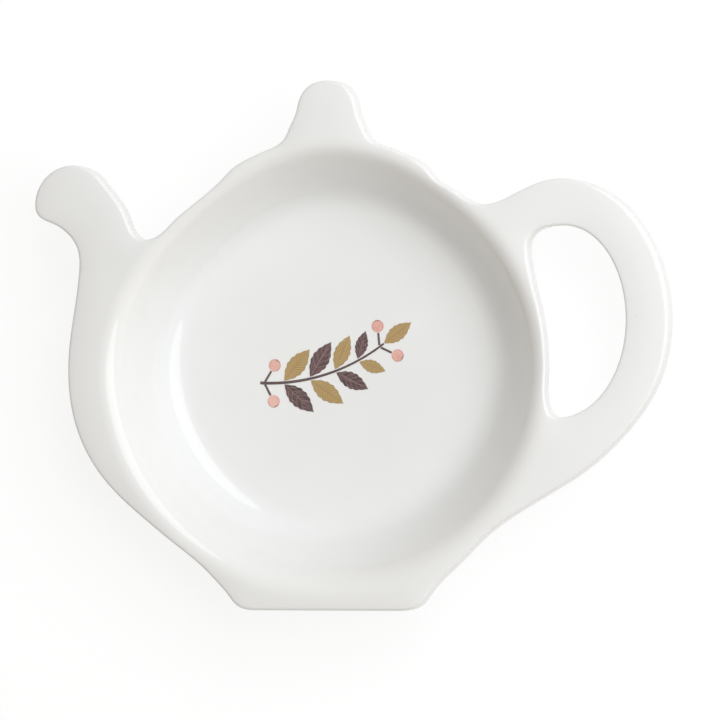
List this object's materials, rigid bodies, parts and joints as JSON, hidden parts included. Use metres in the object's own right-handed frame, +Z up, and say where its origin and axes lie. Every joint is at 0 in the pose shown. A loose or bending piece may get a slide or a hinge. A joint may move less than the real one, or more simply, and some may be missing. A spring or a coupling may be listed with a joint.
{
  "type": "tea bag rest",
  "caption": "Glazed china tea bag rest in the flat outline of a teapot, with a round well for a wet tea bag, a loop handle, a spout, a knob and a printed sprig on the floor",
  "frame": {"origin": "Middle of the silhouette's bounding rectangle, on the table plane under the foot ring", "axes": "+X towards the handle, +Y towards the knob, +Z up out of the well"},
  "size_m": [0.1222, 0.0984, 0.018],
  "materials": {
    "china_glaze": "clear gloss glaze on white china",
    "bare_china": "unglazed, ground flat and matt",
    "print_brown": "fired print under gloss glaze",
    "print_gold": "fired print under gloss glaze",
    "print_coral": "fired print under gloss glaze"
  },
  "bodies": {
    "root": {"dish": "china_glaze", "spout": "china_glaze", "knob": "china_glaze", "handle": "china_glaze", "foot_ring": "bare_china", "print_stem": "print_brown", "print_brown_leaves": "print_brown", "print_gold_leaves": "print_gold", "print_berries": "print_coral"}
  },
  "joints": []
}
